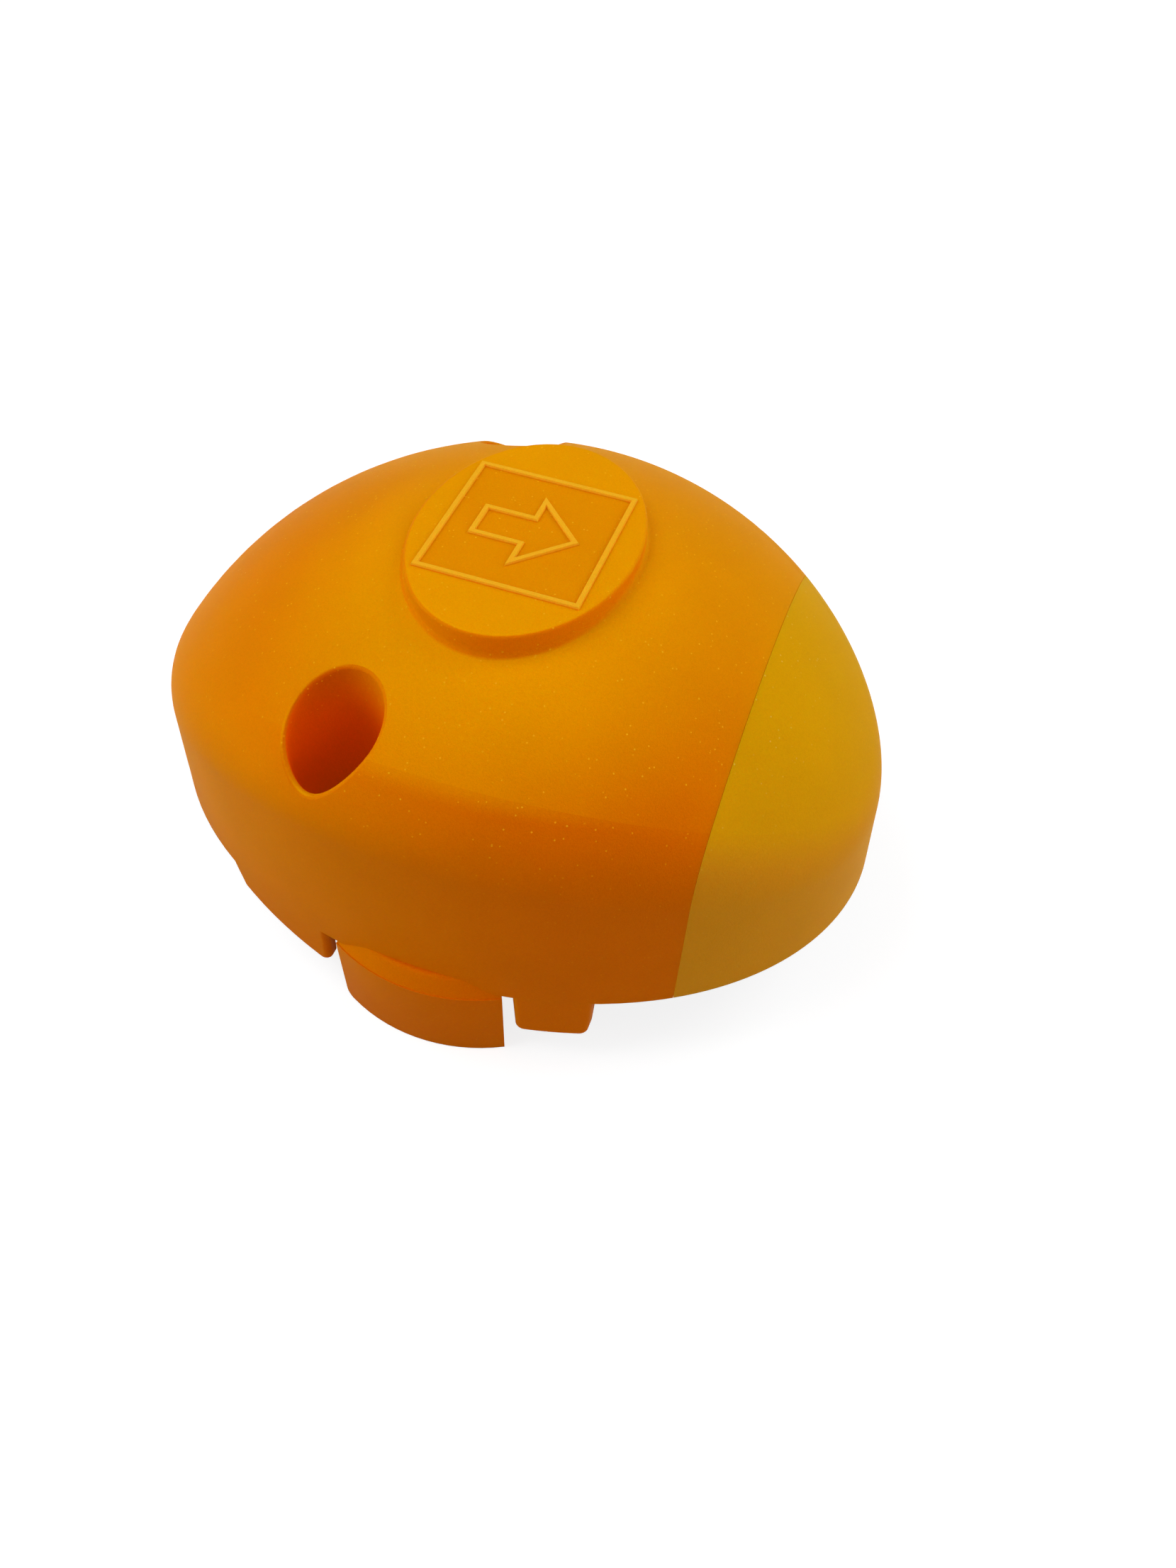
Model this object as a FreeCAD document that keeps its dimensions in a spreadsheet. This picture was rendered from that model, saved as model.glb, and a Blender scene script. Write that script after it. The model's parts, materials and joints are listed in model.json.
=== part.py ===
import FreeCAD, Part
import Sketcher
import math
import os

# Raised pavement marker: a moulded two-tone cap that stands on two curved collars.
# Frame: +X towards the yellow end lens, +Y towards the rear, +Z up.
# Origin: centre of the elliptic rim, in the plane that the two collars stand on.

SIZES = (
    # the domed cap
    ("rim_height", 16.4, "rim of the cap above the ground"),
    ("rim_half_length", 60.6, "rim ellipse, half of its length"),
    ("rim_half_width", 45.1, "rim ellipse, half of its width"),
    ("end_taper", 0.078, "inward slope of the skirt at the two ends"),
    ("side_taper", 0.024, "inward slope of the skirt at the two sides"),
    ("crown_margin", 8.4, "ball radius of the crown, beyond the rim's half length"),
    ("crown_rise", 51.1, "top of the crown above the rim"),
    ("shoulder_radius", 14.5, "rounding between crown and skirt"),
    ("wall", 2.4, "wall of cap and lens"),
    ("lap", 0.5, "how far inner features reach into the wall"),
    # the badge pad on top, with its plain frame and arrow
    ("badge_shift", 1.3, "centre of the badge pad towards the lens"),
    ("badge_half_length", 16.4, "badge pad along X"),
    ("badge_half_width", 21.8, "badge pad along Y"),
    ("badge_step", 0.05, "badge pad above the top of the crown"),
    ("badge_depth", 7.0, "badge pad from its face down into the crown"),
    ("badge_edge_radius", 0.5, "rounding of the badge pad's rim"),
    ("badge_foot_radius", 0.9, "fillet at the foot of the badge pad"),
    ("frame_length", 24.9, "plain frame on the badge pad, along X"),
    ("frame_width", 25.4, "plain frame, along Y"),
    ("arrow_length", 16.0, "plain arrow in the frame, towards the lens"),
    ("arrow_width", 17.0, "across the arrow's head"),
    ("arrow_shaft_width", 7.0, "across the arrow's shaft"),
    ("arrow_shaft_length", 7.5, "length of the arrow's shaft"),
    ("line_width", 1.2, "width of the raised outlines at their foot"),
    ("line_height", 0.4, "height of the raised outlines"),
    ("line_draft", 20.0, "slope of their sides, in degrees"),
    # the two screw wells
    ("well_back", 13.1, "well axes behind the middle, away from the lens"),
    ("well_inset", 11.2, "well axes inwards from the rim's long sides"),
    ("well_radius", 6.9, "bore of a well"),
    ("well_wall", 2.0, "wall of a well tube"),
    ("well_foot_radius", 6.4, "narrower foot of a well, round the screw head"),
    ("well_step_height", 30.9, "where a well widens, above the ground"),
    ("well_mouth_radius", 0.6, "rounding of a well's mouth"),
    ("well_floor_height", 23.9, "top of a well's floor above the ground"),
    # collars and feet below the rim
    ("collar_shift", 0.1, "collar axis towards the lens"),
    ("collar_side", 18.0, "collar axes to either side of the middle"),
    ("collar_radius", 29.5, "outside of a collar"),
    ("collar_wall", 2.4, "wall of a collar"),
    ("collar_root", 4.6, "thickness where a collar joins the skirt"),
    ("collar_root_height", 4.0, "height of that thicker root below the rim"),
    ("collar_span", 56.4, "angle that a collar covers"),
    ("collar_step_drop", 0.7, "top edge of a collar's wall below the rim"),
    ("collar_step", 0.2, "how far the shoulder stands back from that edge"),
    ("collar_shoulder", 3.2, "height of the sloping shoulder above that edge"),
    ("collar_shoulder_inset", 1.6, "how far the shoulder runs in over its height"),
    ("collar_shoulder_radius", 0.8, "rounded upper edge of the shoulder"),
    ("collar_corner_radius", 1.5, "lower corner of a collar, away from the lens"),
    ("foot_depth", 10.0, "feet below the rim"),
    ("foot_inset", 0.1, "outer face of a foot inside the rim"),
    ("foot_side_taper", 0.6, "how far a foot's side leans in over its depth"),
    ("far_foot_back_taper", 3.6, "the same for the long foot's far side"),
    ("far_foot_rise", 4.2, "how far the long foot's lower edge rises to its far side"),
    ("far_foot_depth", 9.6, "long foot below the rim"),
    ("foot_corner_radius", 1.5, "rounded lower corners of a foot"),
    ("foot_edge_radius", 1.0, "soft outer edge of a foot"),
    ("near_foot_start", 15.0, "short foot, from this distance towards the lens"),
    ("near_foot_end", 27.2, "short foot, to this distance towards the lens"),
    ("far_foot_start", 15.7, "long foot, from this distance away from the lens"),
    ("far_foot_end", 38.0, "long foot, to this distance away from the lens"),
    # the seam between cap and lens
    ("seam_place", 38.2, "seam plane from the middle"),
    ("seam_gap", 0.05, "gap between cap and lens"),
    ("tongue_length", 3.3, "tongue of the cap inside the lens"),
    ("tongue_thickness", 1.6, "thickness of the tongue"),
    ("tongue_root", 4.0, "length of the tongue's root inside the cap"),
    ("fit_gap", 0.2, "clearance of the tongue in the lens"),
    ("gasket_thickness", 1.4, "arch gasket along X"),
    ("stop_rib", 1.8, "rib in the lens that the gasket bears on"),
    ("seal_gap", 0.05, "play on each side of a gasket"),
    # base plate, its ledge and its seal
    ("plate_lift", 0.5, "underside of the plate above the rim"),
    ("plate_thickness", 3.0, "thickness of the base plate"),
    ("plate_gap", 0.5, "gap round the base plate"),
    ("base_gasket_thickness", 1.5, "height of the ring gasket"),
    ("base_gasket_width", 6.0, "width of the flat ring gasket"),
    ("ledge_width", 3.0, "ledge above the ring gasket, inwards from the wall"),
    ("ledge_thickness", 2.0, "height of that ledge"),
    ("rib_thickness", 1.6, "ribs of plate and crown"),
    ("plate_rib_height", 5.0, "ribs on the base plate"),
    ("plate_rib_side", 9.0, "ribs to either side of the middle"),
    ("plate_rib_back", 0.76, "back end of the ribs, share of the half length"),
    ("plate_rib_front", 0.5, "front end of the ribs, share of the half length"),
    ("crown_rib_depth", 5.0, "ribs below the crown"),
    # bosses and small screws
    ("boss_radius", 3.6, "screw bosses in cap and lens"),
    ("boss_inset", 3.2, "boss axes inwards from the wall's inner face"),
    ("boss_height", 14.0, "height of a boss"),
    ("front_boss_share", 0.47, "front bosses, share of the half length"),
    ("back_boss_share", 0.76, "back bosses, share of the half length"),
    ("pilot_depth", 10.0, "depth of the pilot bore in a boss"),
    ("pilot_radius", 1.5, "pilot bore in a boss"),
    ("small_screw_radius", 1.45, "shank of a small screw"),
    ("small_screw_length", 11.0, "shank of a small screw"),
    ("small_head_radius", 2.8, "head of a small screw"),
    ("small_head_height", 1.6, "head of a small screw"),
    ("small_hole_radius", 1.7, "clearance hole for a small screw"),
    ("small_slot_width", 0.8, "cross recess of a small screw"),
    ("small_slot_length", 3.2, "cross recess of a small screw"),
    ("small_slot_depth", 0.9, "cross recess of a small screw"),
    ("small_point", 1.5, "length of the point"),
    ("small_edge_radius", 0.9, "rounding of the head"),
    # fixing screws with their washers and sleeves
    ("screw_radius", 2.25, "thread of a fixing screw, over its crests"),
    ("shank_radius", 2.5, "plain shank of a fixing screw"),
    ("screw_tip_height", 5.0, "tip of a fixing screw above the ground"),
    ("screw_point", 3.0, "length of the point"),
    ("head_radius", 4.6, "head of a fixing screw"),
    ("head_height", 3.4, "head of a fixing screw"),
    ("head_edge_radius", 0.8, "rounding of the head"),
    ("socket_radius", 2.3, "hexagon socket across corners, half"),
    ("socket_depth", 2.0, "depth of the hexagon socket"),
    ("washer_radius", 5.8, "steel washer and its rubber face"),
    ("washer_thickness", 1.2, "steel washer"),
    ("washer_seal_thickness", 1.5, "rubber face of the washer"),
    ("washer_hole_radius", 2.57, "hole in washer and rubber face"),
    ("sleeve_radius", 3.5, "outside of a sleeve"),
    ("sleeve_hole_radius", 2.58, "bore of a sleeve"),
    ("sleeve_gap", 0.05, "play round a sleeve"),
    # reflector behind the lens
    ("reflector_inset", 11.6, "middle facet inwards from the rim's lens end"),
    ("reflector_half_width", 11.0, "middle facet, half of its width"),
    ("reflector_sweep", 6.0, "how far a side facet falls back"),
    ("reflector_reach", 21.0, "outer edge of a side facet from the middle"),
    ("reflector_bottom", 22.4, "lower edge of the facets above the ground"),
    ("reflector_height", 12.5, "height of the facets"),
    ("reflector_thickness", 1.8, "reflector plates"),
    ("carrier_thickness", 2.0, "walls of the carrier"),
    ("carrier_foot_length", 12.0, "foot of the carrier along X"),
    ("carrier_top", 35.4, "upper edge of the carrier above the ground"),
    ("carrier_screw_side", 7.0, "carrier screws to either side of the middle"),
    ("carrier_screw_length", 3.4, "shank of a carrier screw"),
    ("reflector_gap", 0.1, "play between neighbouring plates"),
    ("glue_gap", 0.05, "glue line behind a reflector"),
)

SMALL = 0.001


class Size:
    """A length that knows its value and the sheet formula that gives it."""

    def __init__(self, value, text):
        self.value = value
        self.text = text

    def joined(self, other, sign, value):
        return Size(value, f"({self.text} {sign} {other.text})")

    def __add__(self, other):
        other = as_size(other)
        return self.joined(other, "+", self.value + other.value)

    def __sub__(self, other):
        other = as_size(other)
        return self.joined(other, "-", self.value - other.value)

    def __mul__(self, other):
        other = as_size(other)
        return self.joined(other, "*", self.value * other.value)

    def __truediv__(self, other):
        other = as_size(other)
        return self.joined(other, "/", self.value / other.value)

    def __neg__(self):
        return Size(-self.value, f"(-1 * {self.text})")


def as_size(number):
    """Plain numbers may stand beside sizes in a formula."""
    if isinstance(number, Size):
        return number
    return Size(number, f"({number})")


doc = FreeCAD.newDocument("pavement_marker")


def write_sheet():
    """Fill the spreadsheet and return its sizes by name."""
    sheet = doc.addObject("Spreadsheet::Sheet", "Sizes")
    sizes = {}
    for row, (alias, value, meaning) in enumerate(SIZES, start=1):
        sheet.set(f"A{row}", alias)
        sheet.set(f"B{row}", str(value))
        sheet.set(f"C{row}", meaning)
        sheet.setAlias(f"B{row}", alias)
        sizes[alias] = Size(value, f"Sizes.{alias}")
    doc.recompute()
    return sizes


size = write_sheet()
zero = as_size(0)

# heights and places that several pieces share
rim = size["rim_height"]
crown_top = rim + size["crown_rise"]
crown_radius = size["rim_half_length"] + size["crown_margin"]
crown_centre = crown_top - crown_radius
badge_top = crown_top + size["badge_step"]
plate_bottom = rim + size["plate_lift"]
plate_top = plate_bottom + size["plate_thickness"]
seal_face = plate_top + size["base_gasket_thickness"] + size["seal_gap"] * 2
ledge_top = seal_face + size["ledge_thickness"]
arch_bottom = ledge_top + size["fit_gap"]
tongue_end = size["seam_place"] + size["tongue_length"]
gasket_end = tongue_end + size["gasket_thickness"] + size["seal_gap"] * 2
reflector_place = size["rim_half_length"] - size["reflector_inset"]
washer_seat = size["well_floor_height"] + size["seal_gap"]
head_seat = washer_seat + size["washer_seal_thickness"] + size["washer_thickness"]


# ---- small helpers over the document ----

def bind(item, **links):
    """Tie properties of a document object to sizes."""
    for name, length in links.items():
        item.setExpression(name, as_size(length).text)
    return item


def place(item, x=0, y=0, z=0, turn=0):
    """Set an object's place, and its turn about Z, from sizes."""
    for axis, length in (("x", x), ("y", y), ("z", z)):
        item.setExpression(f"Placement.Base.{axis}", as_size(length).text)
    if as_size(turn).value != 0:
        item.Placement.Rotation = FreeCAD.Rotation(FreeCAD.Vector(0, 0, 1), as_size(turn).value)
        item.setExpression("Placement.Rotation.Angle", f"{as_size(turn).text} * 1deg")
    return item


def make(kind, name):
    return doc.addObject(kind, name)


def cylinder(name, radius, height, x=0, y=0, z=0):
    item = bind(make("Part::Cylinder", name), Radius=radius, Height=height)
    return place(item, x, y, z)


def sector(name, radius, height, span, x, y, z, turn):
    item = bind(make("Part::Cylinder", name), Radius=radius, Height=height)
    item.setExpression("Angle", f"{as_size(span).text} * 1deg")
    return place(item, x, y, z, turn)


def box(name, low, high):
    """A box between two corners, each a triple of sizes."""
    low = [as_size(value) for value in low]
    high = [as_size(value) for value in high]
    item = make("Part::Box", name)
    bind(item, Length=high[0] - low[0], Width=high[1] - low[1], Height=high[2] - low[2])
    return place(item, low[0], low[1], low[2])


def fuse(name, *items):
    item = make("Part::MultiFuse", name)
    item.Shapes = list(items)
    item.Refine = False
    return item


def common(name, *items):
    item = make("Part::MultiCommon", name)
    item.Shapes = list(items)
    item.Refine = False
    return item


def cut(name, base, tool):
    item = make("Part::Cut", name)
    item.Base = base
    item.Tool = tool
    item.Refine = False
    return item


def round_edges(name, base, radius, wanted):
    """Fillet every edge of base that the test wants."""
    doc.recompute()
    item = make("Part::Fillet", name)
    item.Base = base
    edges = enumerate(base.Shape.Edges, start=1)
    item.Edges = [(number, radius.value, radius.value) for number, edge in edges if wanted(edge)]
    doc.recompute()
    return item


def well_place(side):
    return -size["well_back"], (size["rim_half_width"] - size["well_inset"]) * side


# ---- the domed block: an elliptic, tapered skirt under a ball-shaped crown ----

def skirt_ellipse(name, inset, height):
    """The skirt's outline at a height, inset from the outer face."""
    above_rim = height - rim
    half_length = size["rim_half_length"] - inset - above_rim * size["end_taper"]
    half_width = size["rim_half_width"] - inset - above_rim * size["side_taper"]
    item = bind(make("Part::Ellipse", name), MajorRadius=half_length, MinorRadius=half_width)
    return place(item, z=height)


def skirt_block(name, inset, bottom, top):
    item = make("Part::Loft", name)
    item.Sections = [skirt_ellipse(f"{name}_low", inset, bottom), skirt_ellipse(f"{name}_high", inset, top)]
    item.Solid = True
    item.Ruled = True
    return item


def domed_block(name, inset, bottom):
    """The cap's solid form, drawn in on all sides by the inset and open to a bottom height."""
    inset = as_size(inset)
    bottom = as_size(bottom)
    skirt = skirt_block(f"{name}_skirt", inset, bottom, crown_top)
    ball = bind(make("Part::Sphere", f"{name}_ball"), Radius=crown_radius - inset)
    place(ball, z=crown_centre)
    block = common(f"{name}_sharp", skirt, ball)
    apex = (crown_top - inset).value

    def on_shoulder(edge):
        limits = edge.BoundBox
        return limits.ZMin > bottom.value + 1 and limits.ZMax < apex - 1

    return round_edges(name, block, size["shoulder_radius"] - inset, on_shoulder)


def domed_shell(name, outer_inset, inner_inset, low, start, end):
    """A slice of a shell that follows the dome: between two insets and two stations, above a height."""
    outer = domed_block(f"{name}_outer", outer_inset, low)
    inner = domed_block(f"{name}_inner", inner_inset, as_size(low) - 1)
    wide = size["rim_half_width"]
    window = box(f"{name}_window", (start, -wide, low), (end, wide, crown_top))
    return common(name, cut(f"{name}_ring", outer, inner), window)


# ---- dome with badge pad and wells ----

def badge_pad():
    """Oval pad on the crown."""
    edge = bind(
        make("Part::Ellipse", "badge_outline"),
        MajorRadius=size["badge_half_width"], MinorRadius=size["badge_half_length"])
    place(edge, size["badge_shift"], 0, badge_top - size["badge_depth"], turn=90)
    pad = make("Part::Extrusion", "badge_pad")
    pad.Base = edge
    pad.DirMode = "Custom"
    pad.Dir = (0, 0, 1)
    pad.Solid = True
    pad.setExpression("LengthFwd", size["badge_depth"].text)
    return pad


def outer_form():
    """Crown, skirt and badge pad as one solid, with the two wells bored down through it."""
    block = domed_block("outer_block", 0, rim)
    joined = fuse("outer_with_pad", block, badge_pad())
    doc.recompute()
    reach = size["badge_half_width"].value + 1
    face = badge_top.value

    def near_pad(edge):
        limits = edge.BoundBox
        off_middle = abs(limits.Center.x - size["badge_shift"].value) < 2
        return off_middle and limits.YMax < reach and limits.YMin > -reach and limits.ZMin > face - 6

    def pad_rim(edge):
        return near_pad(edge) and edge.BoundBox.ZMin > face - SMALL

    def pad_foot(edge):
        limits = edge.BoundBox
        return near_pad(edge) and limits.ZMax < face - SMALL and limits.YLength > 2 * reach - 6

    rounded = round_edges("outer_pad_rim", joined, size["badge_edge_radius"], pad_rim)
    rounded = round_edges("outer_pad_foot", rounded, size["badge_foot_radius"], pad_foot)
    return rounded


def well_bore(name, side):
    """The bore of a well: a narrow foot round the screw head, then the full bore through the crown."""
    floor = size["well_floor_height"]
    step = size["well_step_height"]
    where = well_place(side)
    narrow = cylinder(f"{name}_foot", size["well_foot_radius"], step - floor, *where, floor)
    wide = cylinder(f"{name}_shaft", size["well_radius"], crown_top - step, *where, step)
    return fuse(name, narrow, wide)


def bored_form():
    """The outer form with both wells and their rounded mouths."""
    bores = fuse("well_bores", well_bore("front_bore", -1), well_bore("rear_bore", 1))
    bored = cut("outer_bored", outer_form(), bores)
    floor = size["well_floor_height"].value
    width = 2 * size["well_radius"].value + SMALL
    back = size["well_back"].value

    def mouth(edge):
        limits = edge.BoundBox
        in_bore = limits.XLength < width and limits.YLength < width and limits.ZLength > SMALL
        return in_bore and abs(limits.Center.x + back) < width / 2 and limits.ZMin > floor + 5

    def mouth_rim(edge):
        straight = edge.BoundBox.XLength < SMALL and edge.BoundBox.YLength < SMALL
        return mouth(edge) and not straight

    return round_edges("outer_mouths", bored, size["well_mouth_radius"], mouth_rim)


# ---- collars and feet below the rim ----

def collar(name, side):
    """A curved wall that the cap stands on, with a sloping shoulder up to the skirt."""
    span = size["collar_span"]
    x = size["collar_shift"]
    y = size["collar_side"] * side
    turn = (as_size(90) * side) - span / 2
    radius = size["collar_radius"]
    inner = radius - size["collar_wall"]
    root_bottom = rim - size["collar_root_height"]
    edge_height = rim - size["collar_step_drop"]
    wall = sector(f"{name}_wall", radius, edge_height, span, x, y, 0, turn)
    low = radius - size["collar_step"]
    slope = bind(
        make("Part::Cone", f"{name}_slope"), Radius1=low,
        Radius2=low - size["collar_shoulder_inset"], Height=size["collar_shoulder"])
    slope.setExpression("Angle", f"{span.text} * 1deg")
    place(slope, x, y, edge_height, turn)
    top = (edge_height + size["collar_shoulder"]).value

    def upper_rim(edge):
        return edge.BoundBox.ZMin > top - SMALL and edge.Curve.TypeId == "Part::GeomCircle"

    shoulder = round_edges(f"{name}_shoulder", slope, size["collar_shoulder_radius"], upper_rim)
    hollow = cylinder(f"{name}_hollow", inner, root_bottom, x, y, 0)
    root = cylinder(
        f"{name}_root_hollow", radius - size["collar_root"],
        size["collar_root_height"] + size["collar_shoulder"], x, y, root_bottom)
    solid = fuse(f"{name}_solid", wall, shoulder)
    emptied = cut(f"{name}_emptied", solid, fuse(f"{name}_hollows", hollow, root))

    def back_corner(edge):
        limits = edge.BoundBox
        radial = abs(edge.Length - size["collar_wall"].value) < SMALL
        return radial and limits.ZMax < SMALL and limits.Center.x < x.value

    return round_edges(name, emptied, size["collar_corner_radius"], back_corner)


def foot(name, start, end, back_lean, depth, rise, side):
    """A tab below the rim: a slice of the skirt's wall with leaning sides and rounded corners."""
    lap = size["wall"]
    ring = skirt_block(f"{name}_ring", size["foot_inset"], rim - depth, rim + lap)
    front = make("Sketcher::SketchObject", f"{name}_front")
    draw_lines(front, (
        (start, rim + lap), (start + back_lean, rim - depth + rise),
        (end - size["foot_side_taper"], rim - depth), (end, rim + lap)))
    front.Placement.Rotation = FreeCAD.Rotation(FreeCAD.Vector(1, 0, 0), 90)
    block = make("Part::Extrusion", f"{name}_block")
    block.Base = front
    block.DirMode = "Custom"
    block.Dir = (0, side, 0)
    block.Solid = True
    bind(block, LengthFwd=size["rim_half_width"])

    def lower_corner(edge):
        limits = edge.BoundBox
        return limits.ZMax < rim.value - 1 and limits.XLength < SMALL and limits.ZLength < SMALL

    def outer_side(edge):
        limits = edge.BoundBox
        outer = abs(limits.Center.y) > size["rim_half_width"].value / 2
        return outer and limits.ZLength > size["foot_depth"].value / 2

    shaped = round_edges(f"{name}_corners", block, size["foot_corner_radius"], lower_corner)
    sharp = common(f"{name}_sharp", ring, shaped)
    return round_edges(name, sharp, size["foot_edge_radius"], outer_side)


def standing_form():
    """The bored form on its collars and feet, with the inside still solid."""
    near = (
        size["near_foot_start"], size["near_foot_end"], size["foot_side_taper"],
        size["foot_depth"], zero)
    far = (
        -size["far_foot_end"], -size["far_foot_start"], size["far_foot_back_taper"],
        size["far_foot_depth"], size["far_foot_rise"])
    pieces = [bored_form(), collar("front_collar", -1), collar("rear_collar", 1)]
    for side_name, side in (("front", -1), ("rear", 1)):
        pieces.append(foot(f"{side_name}_near_foot", *near, side))
        pieces.append(foot(f"{side_name}_far_foot", *far, side))
    return fuse("standing_form", *pieces)


# ---- sketches tied to the sheet ----

def draw_lines(sketch, points):
    """A closed outline; each corner is tied to the sheet by its two coordinates."""
    corners = [FreeCAD.Vector(as_size(x).value, as_size(y).value, 0) for x, y in points]
    count = len(corners)
    first = sketch.GeometryCount
    for number in range(count):
        sketch.addGeometry(Part.LineSegment(corners[number], corners[(number + 1) % count]))
    for number in range(count):
        following = first + (number + 1) % count
        sketch.addConstraint(Sketcher.Constraint("Coincident", first + number, 2, following, 1))
    for number, (x, y) in enumerate(points):
        tie_point(sketch, first + number, 1, x, y)


def tie_point(sketch, shape, point, x, y):
    """Hold a point at its coordinates from the sketch's origin."""
    for kind, length in (("DistanceX", as_size(x)), ("DistanceY", as_size(y))):
        rule = Sketcher.Constraint(kind, -1, 1, shape, point, length.value)
        number = sketch.addConstraint(rule)
        sketch.setExpression(f"Constraints[{number}]", length.text)


def draw_circle(sketch, radius, x=0, y=0):
    radius = as_size(radius)
    middle = FreeCAD.Vector(as_size(x).value, as_size(y).value, 0)
    shape = sketch.addGeometry(Part.Circle(middle, FreeCAD.Vector(0, 0, 1), radius.value))
    tie_point(sketch, shape, 3, x, y)
    number = sketch.addConstraint(Sketcher.Constraint("Radius", shape, radius.value))
    sketch.setExpression(f"Constraints[{number}]", radius.text)


def draw_ellipse(sketch, half_length, half_width):
    """An ellipse on the sketch's origin, long axis along the sketch's first axis."""
    long_end = FreeCAD.Vector(half_length.value, 0, 0)
    short_end = FreeCAD.Vector(0, half_width.value, 0)
    shape = sketch.addGeometry(Part.Ellipse(long_end, short_end, FreeCAD.Vector(0, 0, 0)))
    sketch.exposeInternalGeometry(shape)
    sketch.addConstraint(Sketcher.Constraint("Coincident", shape, 3, -1, 1))
    sketch.addConstraint(Sketcher.Constraint("PointOnObject", shape + 1, 1, -1))
    for axis, half in ((shape + 1, half_length), (shape + 2, half_width)):
        number = sketch.addConstraint(Sketcher.Constraint("Distance", axis, 2 * half.value))
        sketch.setExpression(f"Constraints[{number}]", (half * 2).text)


def new_body(name, x=0, y=0, z=0):
    return place(make("PartDesign::Body", name), x, y, z)


def new_sketch(body, name, role, height=0):
    """A sketch on one of the body's origin planes, raised by a height."""
    sketch = body.newObject("Sketcher::SketchObject", name)
    plane = next(part for part in body.Origin.OriginFeatures if part.Role == role)
    sketch.AttachmentSupport = [(plane, "")]
    sketch.MapMode = "FlatFace"
    sketch.setExpression("AttachmentOffset.Base.z", as_size(height).text)
    return sketch


def pad(body, sketch, length):
    feature = body.newObject("PartDesign::Pad", f"{sketch.Name}_pad")
    feature.Profile = sketch
    feature.setExpression("Length", as_size(length).text)
    sketch.Visibility = False
    return feature


def pocket(body, sketch, depth, upwards):
    """Cut a sketch into the body and make sure that it cuts."""
    doc.recompute()
    before = body.Shape.Volume
    feature = body.newObject("PartDesign::Pocket", f"{sketch.Name}_pocket")
    feature.Profile = sketch
    feature.Reversed = upwards
    feature.setExpression("Length", as_size(depth).text)
    doc.recompute()
    if body.Shape.Volume > before - SMALL:
        raise ValueError(f"{feature.Name} cuts nothing")
    return feature


def revolve(body, sketch):
    feature = body.newObject("PartDesign::Revolution", f"{sketch.Name}_turned")
    feature.Profile = sketch
    feature.ReferenceAxis = (sketch, ["V_Axis"])
    feature.Angle = 360
    return feature


def ring_body(name, outer, inner, height, x, y, z):
    """A flat ring or a sleeve."""
    body = new_body(name, x, y, z)
    sketch = new_sketch(body, f"{name}_section", "XY_Plane")
    draw_circle(sketch, outer)
    draw_circle(sketch, inner)
    pad(body, sketch, height)
    return body


# ---- places of bosses and screws ----

def on_inner_ellipse(share):
    """A boss axis beside the wall: its distance along X is a share of the half length."""
    inset = size["wall"] + size["boss_inset"]
    length = size["rim_half_length"] - inset
    width = size["rim_half_width"] - inset
    across = Size(math.sqrt(1 - share.value ** 2), f"sqrt(1 - {share.text} ^ 2)")
    return length * share, width * across


def cover_screw_places():
    front_x, front_y = on_inner_ellipse(size["front_boss_share"])
    back_x, back_y = on_inner_ellipse(size["back_boss_share"])
    return ((front_x, -front_y), (front_x, front_y), (-back_x, -back_y), (-back_x, back_y))


def lens_screw_place():
    return size["rim_half_length"] - size["wall"] - size["boss_inset"], zero


def carrier_screw_places():
    x = reflector_place - size["carrier_thickness"] - size["carrier_foot_length"] / 2
    return ((x, -size["carrier_screw_side"]), (x, size["carrier_screw_side"]))


# ---- what is moulded inside the dome ----

def inner_parts(name, items):
    """Join inner features and trim them so that they end inside the wall."""
    skin = domed_block(f"{name}_skin", size["wall"] - size["lap"], rim)
    return common(f"{name}_trimmed", fuse(f"{name}_joined", *items), skin)


def boss(name, where):
    return cylinder(name, size["boss_radius"], size["boss_height"], where[0], where[1], seal_face)


def pilot(name, where):
    return cylinder(name, size["pilot_radius"], size["pilot_depth"], where[0], where[1], seal_face)


def ledge(name, start, end):
    """The ledge that runs round the inside above the ring gasket."""
    wall = size["wall"]
    window = (start, -size["rim_half_width"], seal_face), (end, size["rim_half_width"], ledge_top)
    ring = cut(
        f"{name}_ring", skirt_block(f"{name}_outer", wall - size["lap"], rim, ledge_top + 1),
        skirt_block(f"{name}_inner", wall + size["ledge_width"], rim - 1, ledge_top + 2))
    return common(name, ring, box(f"{name}_window", *window))


def crown_rib(name, side):
    middle = size["plate_rib_side"] * side
    half = size["rib_thickness"] / 2
    depth = size["wall"] + size["crown_rib_depth"]
    end = size["seam_place"] - size["tongue_root"]
    shell = domed_shell(f"{name}_shell", size["wall"] - size["lap"], depth, seal_face, rim_start, end)
    slab = box(f"{name}_slab", (rim_start, middle - half, seal_face), (end, middle + half, crown_top))
    return common(name, shell, slab)


rim_start = -(size["rim_half_length"] + 1)
rim_end = size["rim_half_length"] + 1
tongue_inset = size["wall"] + size["fit_gap"]
tongue_inner = tongue_inset + size["tongue_thickness"]


def well_tube(name, side):
    """A well's tube with its floor, resting on the ring gasket's level."""
    radius = size["well_radius"] + size["well_wall"]
    tube = cylinder(f"{name}_outside", radius, crown_top - seal_face, *well_place(side), seal_face)
    return cut(name, tube, well_bore(f"{name}_inside", side))


def sleeve_hole(name, side, bottom, height):
    radius = size["sleeve_radius"] + size["sleeve_gap"]
    return cylinder(name, radius, height, *well_place(side), bottom)


def half_space(name, start, end):
    reach = size["rim_half_width"] + size["collar_radius"]
    return box(name, (start, -reach, -1), (end, reach, crown_top + 10))


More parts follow.
